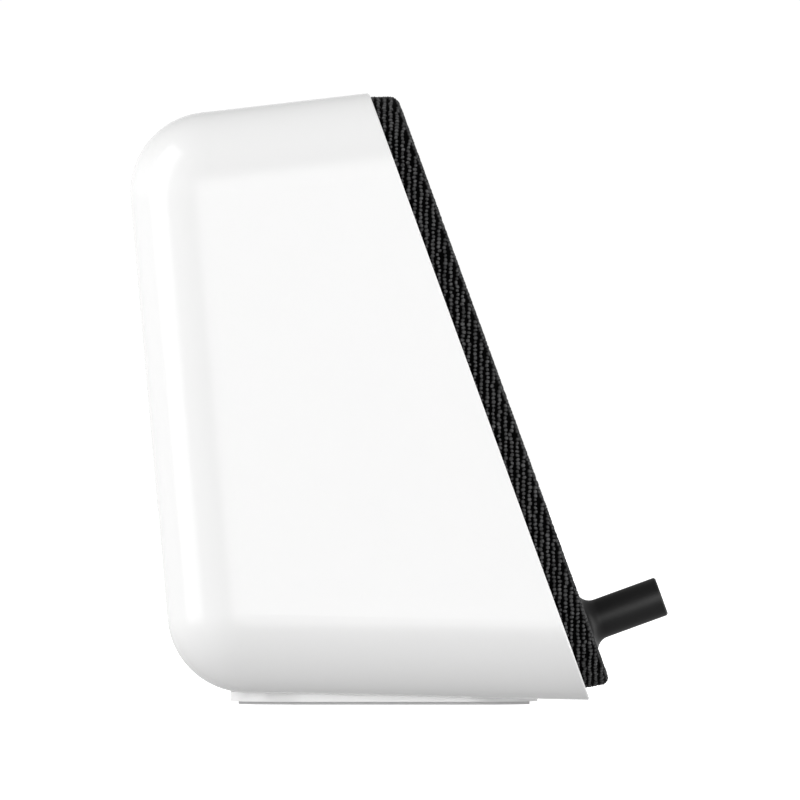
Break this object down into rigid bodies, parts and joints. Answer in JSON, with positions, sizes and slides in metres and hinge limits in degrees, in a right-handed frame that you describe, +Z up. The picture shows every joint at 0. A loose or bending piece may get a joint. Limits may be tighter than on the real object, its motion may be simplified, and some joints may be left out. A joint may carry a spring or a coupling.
{
  "type": "smart speaker",
  "caption": "Wedge-shaped table-top smart speaker: glossy white cabinet, leaning black knit grille and a control knob low on its front.",
  "frame": {"origin": "middle of the rubber foot's underside, on the table", "axes": "+Z up, the grille faces -Y and the power socket +Y, X is the width"},
  "size_m": [0.16, 0.135, 0.153],
  "materials": {
    "white_gloss": "gloss",
    "grey_rubber": "matt",
    "black_rubber": "matt",
    "black_abs": "fine texture",
    "knit_cloth": "knit",
    "knob_black": "soft touch",
    "brass": "turned",
    "steel": "satin",
    "black_steel": "satin",
    "ferrite": "ground",
    "copper_wire": "enamelled",
    "coil_former": "satin",
    "paper_cone": "matt",
    "amber_cloth": "impregnated",
    "board_green": "solder mask",
    "chip_black": "moulded",
    "tin_plate": "tinned",
    "spreader_alu": "anodised",
    "pad_grey": "matt",
    "connector_white": "moulded",
    "capacitor_sleeve": "sleeve",
    "clear_acrylic": "clear",
    "led_white": "moulded",
    "lead_red": "jacket",
    "coax_black": "jacket",
    "ribbon_white": "film",
    "wadding_grey": "felted",
    "antenna_film": "film"
  },
  "bodies": {
    "cabinet": {"cabinet_shell": "white_gloss", "base_plinth": "white_gloss", "plinth_screws": "steel", "foot_rubber": "grey_rubber", "speaker_leads": "lead_red", "antenna_leads": "coax_black", "ribbon_cables": "ribbon_white", "front_baffle": "black_abs", "baffle_gasket": "black_rubber", "baffle_screws": "black_steel", "grille_grommets": "black_rubber", "grille_cloth": "knit_cloth", "grille_frame": "black_abs", "encoder_bushing": "tin_plate", "encoder_body": "chip_black", "encoder_nut": "tin_plate", "encoder_washer": "tin_plate", "encoder_board": "board_green", "push_switch": "chip_black", "switch_dome": "tin_plate", "woofer_basket": "black_steel", "woofer_gasket": "black_rubber", "woofer_screws": "black_steel", "woofer_top_plate": "steel", "woofer_magnet": "ferrite", "woofer_pole_yoke": "steel", "woofer_surround": "black_rubber", "woofer_spider": "amber_cloth", "tweeter_faceplate": "black_abs", "tweeter_motor": "steel", "tweeter_dome": "coil_former", "tweeter_screws": "black_steel", "microphone_boots": "black_rubber", "microphone_boards": "board_green", "microphones": "tin_plate", "light_pipes": "clear_acrylic", "light_leds": "led_white", "light_board": "board_green", "acoustic_wadding": "wadding_grey", "main_board": "board_green", "board_screws": "steel", "shield_can": "tin_plate", "thermal_pad": "pad_grey", "heat_spreader": "spreader_alu", "board_chips": "chip_black", "board_coils": "ferrite", "board_capacitors": "capacitor_sleeve", "board_connectors": "connector_white", "jack_body": "chip_black", "jack_pin": "tin_plate", "wifi_antennas": "antenna_film"},
    "encoder_rotor": {"encoder_rotor": "connector_white"},
    "knob": {"knob_cap": "knob_black", "knob_core": "brass", "encoder_shaft": "steel"},
    "woofer_cone": {"woofer_cone": "paper_cone", "woofer_dust_cap": "paper_cone", "voice_coil_former": "coil_former", "voice_coil_winding": "copper_wire"}
  },
  "joints": [
    {"name": "knob_turn", "type": "hinge", "parent": "cabinet", "child": "encoder_rotor", "pos_m": [0, -0.04545, 0.01788], "axis": [0, -0.9397, 0.342], "continuous": true},
    {"name": "knob_push", "type": "slide", "parent": "encoder_rotor", "child": "knob", "axis": [0, 0.9397, -0.342], "range_m": [0, 0.0005], "stiffness_N_per_m": 4000, "springref_m": -0.0005},
    {"name": "cone_travel", "type": "slide", "parent": "cabinet", "child": "woofer_cone", "axis": [0, -0.9397, 0.342], "range_m": [-0.003, 0.003], "stiffness_N_per_m": 1200, "deforming": ["woofer_surround", "woofer_spider"]}
  ]
}
